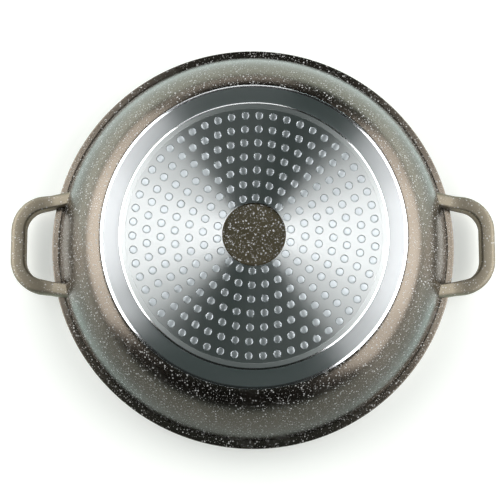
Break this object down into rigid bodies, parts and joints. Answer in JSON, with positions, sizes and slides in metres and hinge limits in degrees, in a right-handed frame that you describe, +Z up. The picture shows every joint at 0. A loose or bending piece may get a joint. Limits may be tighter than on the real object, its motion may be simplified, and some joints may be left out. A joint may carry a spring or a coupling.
{
  "type": "cooking pot",
  "caption": "Low round cast-aluminium cooking pot with a stepped rim, side loop handles, a speckled coating and a perforated steel induction base.",
  "frame": {"origin": "middle of the face that the pot stands on, the under face of the steel plate", "axes": "+X through the right handle, +Z up out of the bowl's mouth"},
  "size_m": [0.348, 0.29, 0.072],
  "materials": {
    "coating": "brown granite-speckled non-stick coating on cast aluminium, satin",
    "bare_aluminium": "bare, turned bright on a lathe",
    "plate_steel": "bare ferritic stainless steel, brushed in circles",
    "medallion_coating": "dark brown speckled coating, satin"
  },
  "bodies": {
    "root": {"pot_body": "coating", "left_handle": "coating", "right_handle": "coating", "foot_ring": "bare_aluminium", "induction_plate": "plate_steel", "medallion": "medallion_coating"}
  },
  "joints": []
}
